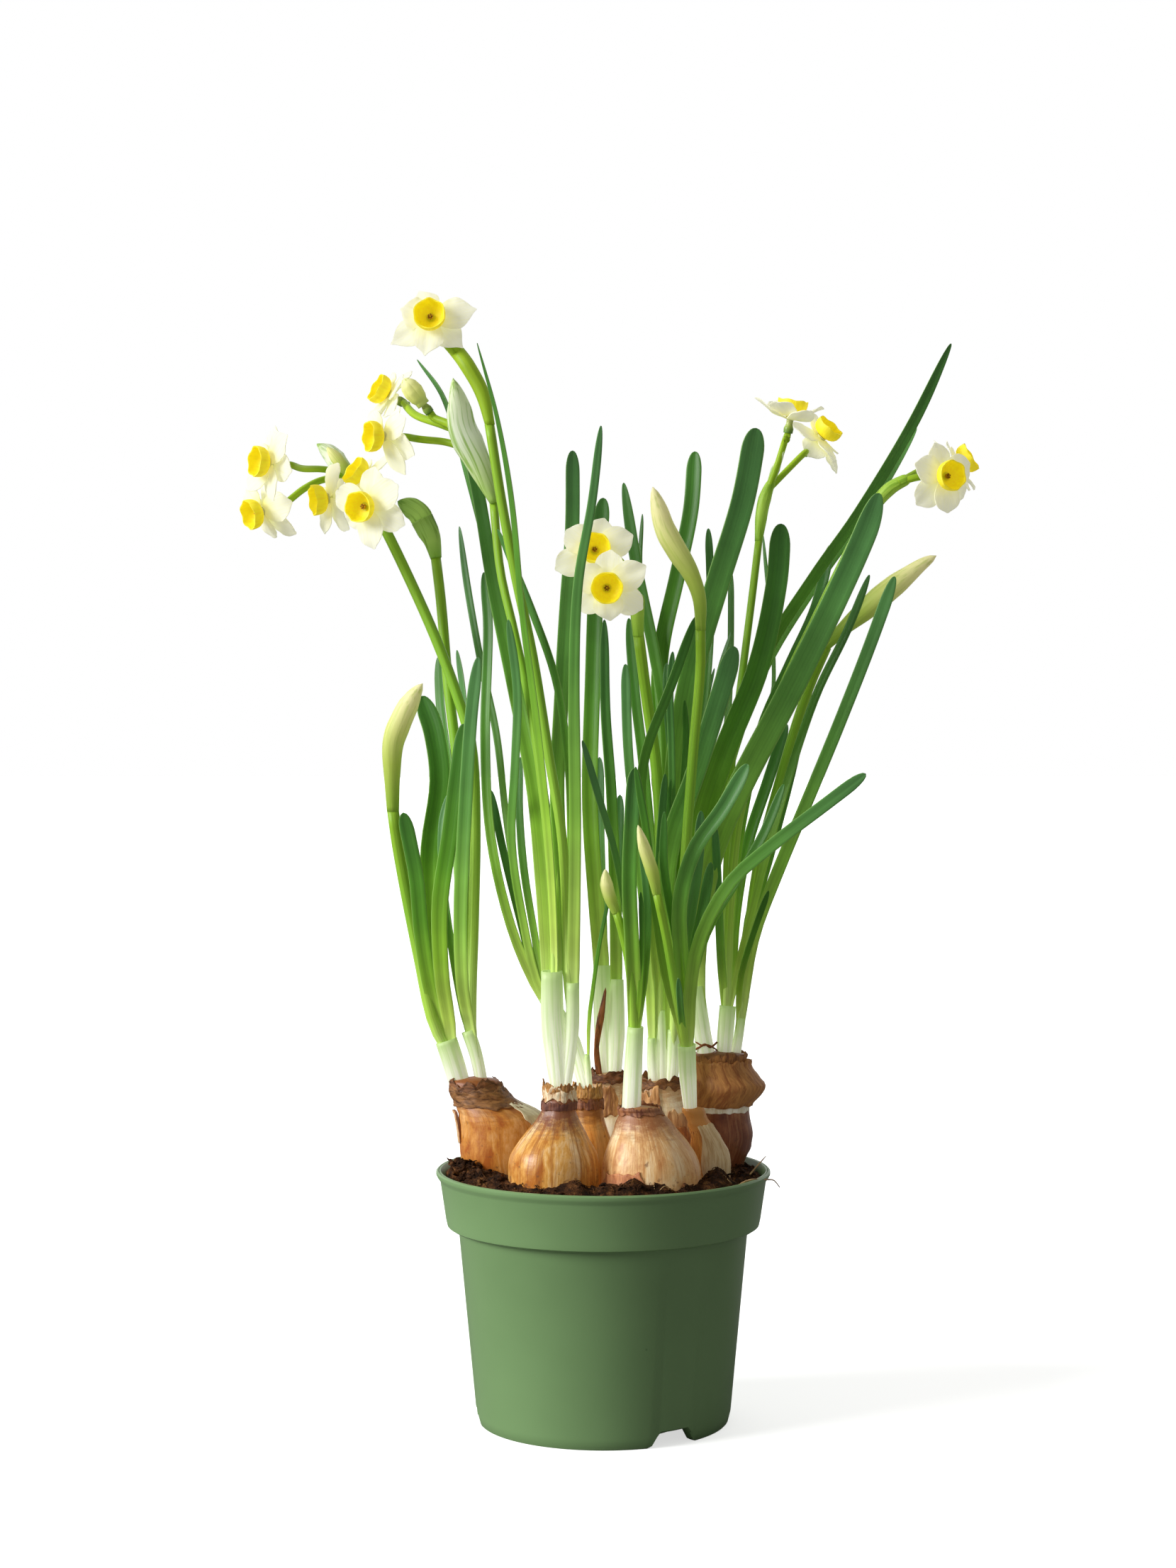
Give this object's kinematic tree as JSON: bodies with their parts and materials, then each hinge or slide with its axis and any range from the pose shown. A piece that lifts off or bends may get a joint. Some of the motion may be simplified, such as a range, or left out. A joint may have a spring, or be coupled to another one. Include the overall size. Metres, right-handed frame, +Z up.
{
  "type": "potted minnow daffodil",
  "caption": "Clump of miniature daffodils in flower, with strap leaves and clustered cream blooms with yellow cups, growing from half-buried bulbs in a round nursery pot.",
  "frame": {"origin": "centre of the flat pad under the pot, on the surface that it stands on", "axes": "+Z up along the pot's axis, -Y towards the front, +X to the right seen from the front"},
  "size_m": [0.2699, 0.132, 0.3971],
  "materials": {
    "pot_plastic": "satin",
    "potting_soil": "matte",
    "bulb_skin": "satin",
    "dark_bulb_skin": "satin",
    "leaf": "satin",
    "bud_and_spathe": "satin",
    "petal": "matte",
    "cup": "matte"
  },
  "bodies": {
    "root": {"pot": "pot_plastic", "soil": "potting_soil", "bulb_1": "bulb_skin", "bulb_2": "bulb_skin", "bulb_3": "bulb_skin", "bulb_4": "dark_bulb_skin", "bulb_5": "bulb_skin", "bulb_6": "bulb_skin", "bulb_7": "bulb_skin", "bulb_8": "bulb_skin", "leaves_1": "leaf", "leaves_2": "leaf", "leaves_3": "leaf", "leaves_4": "leaf", "leaves_5": "leaf", "leaves_6": "leaf", "leaves_7": "leaf", "leaves_8": "leaf", "head_1": "bud_and_spathe", "head_2": "bud_and_spathe", "head_3": "bud_and_spathe", "head_4": "bud_and_spathe", "head_5": "bud_and_spathe", "head_6": "bud_and_spathe", "head_7": "bud_and_spathe", "head_8": "bud_and_spathe", "head_9": "bud_and_spathe", "head_10": "bud_and_spathe", "head_11": "bud_and_spathe", "head_12": "bud_and_spathe", "petals_1": "petal", "cup_1": "cup", "petals_2": "petal", "cup_2": "cup", "petals_3": "petal", "petals_4": "petal", "cup_4": "cup", "petals_5": "petal", "cup_5": "cup", "petals_6": "petal", "cup_6": "cup", "petals_7": "petal", "cup_7": "cup", "petals_8": "petal", "cup_8": "cup", "petals_9": "petal", "cup_9": "cup", "petals_10": "petal", "cup_10": "cup", "petals_11": "petal", "cup_11": "cup", "petals_12": "petal", "cup_12": "cup", "petals_13": "petal", "cup_13": "cup", "petals_14": "petal", "cup_14": "cup", "petals_15": "petal", "cup_15": "cup"}
  },
  "joints": []
}
